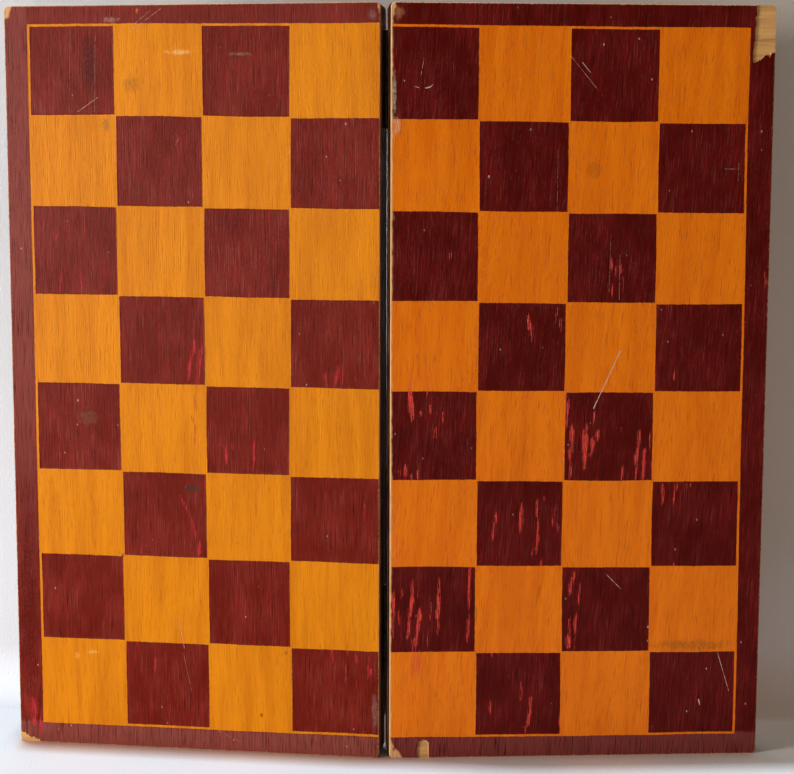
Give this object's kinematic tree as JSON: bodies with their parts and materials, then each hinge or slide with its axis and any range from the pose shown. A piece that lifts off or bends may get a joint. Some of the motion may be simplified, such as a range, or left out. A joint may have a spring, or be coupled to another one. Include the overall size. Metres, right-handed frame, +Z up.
{
  "type": "backgammon set",
  "caption": "Folding wooden game board: two shallow trays hinged at the rims, painted draughts squares outside, backgammon points inside, held shut by hooks.",
  "frame": {"origin": "centre of the bounding box at the height of the surface that the open board stands on", "axes": "+Z up along the hinge axis; the painted playing face looks towards -Y; the left half, with the hooks, is at -X"},
  "size_m": [0.3998, 0.0382, 0.3918],
  "materials": {
    "painted_panel": "worn varnish over dark red-brown and orange paint",
    "stained_rail": "worn dark stain",
    "hinge_steel": "dull, aged",
    "hook_brass": "tarnished"
  },
  "bodies": {
    "left_half": {"left_panel": "painted_panel", "left_hinge_rail": "stained_rail", "left_latch_rail": "stained_rail", "left_top_rail": "stained_rail", "left_bottom_rail": "stained_rail", "upper_hinge_left_leaf": "hinge_steel", "lower_hinge_left_leaf": "hinge_steel", "upper_hinge_pin": "hinge_steel", "lower_hinge_pin": "hinge_steel", "upper_hinge_left_leaf_screw_1": "hinge_steel", "upper_hinge_left_leaf_screw_2": "hinge_steel", "upper_hinge_left_leaf_screw_3": "hinge_steel", "lower_hinge_left_leaf_screw_1": "hinge_steel", "lower_hinge_left_leaf_screw_2": "hinge_steel", "lower_hinge_left_leaf_screw_3": "hinge_steel", "upper_hook_screw": "hook_brass", "lower_hook_screw": "hook_brass"},
    "right_half": {"right_panel": "painted_panel", "right_hinge_rail": "stained_rail", "right_latch_rail": "stained_rail", "right_top_rail": "stained_rail", "right_bottom_rail": "stained_rail", "upper_hinge_right_leaf": "hinge_steel", "lower_hinge_right_leaf": "hinge_steel", "upper_hinge_right_leaf_screw_1": "hinge_steel", "upper_hinge_right_leaf_screw_2": "hinge_steel", "upper_hinge_right_leaf_screw_3": "hinge_steel", "lower_hinge_right_leaf_screw_1": "hinge_steel", "lower_hinge_right_leaf_screw_2": "hinge_steel", "lower_hinge_right_leaf_screw_3": "hinge_steel", "upper_catch_screw": "hook_brass", "lower_catch_screw": "hook_brass"},
    "upper_hook": {"upper_hook": "hook_brass"},
    "lower_hook": {"lower_hook": "hook_brass"}
  },
  "joints": [
    {"name": "board_fold", "type": "hinge", "parent": "left_half", "child": "right_half", "pos_m": [0, 0.00077, 0], "axis": [0, 0, 1], "range_deg": [-10.8, 169.2]},
    {"name": "upper_hook_swing", "type": "hinge", "parent": "left_half", "child": "upper_hook", "pos_m": [-0.19778, 0.01143, 0.3118], "axis": [0.9956, -0.0941, 0], "range_deg": [-90, 90]},
    {"name": "lower_hook_swing", "type": "hinge", "parent": "left_half", "child": "lower_hook", "pos_m": [-0.19778, 0.01143, 0.08], "axis": [0.9956, -0.0941, 0], "range_deg": [-90, 90]}
  ]
}
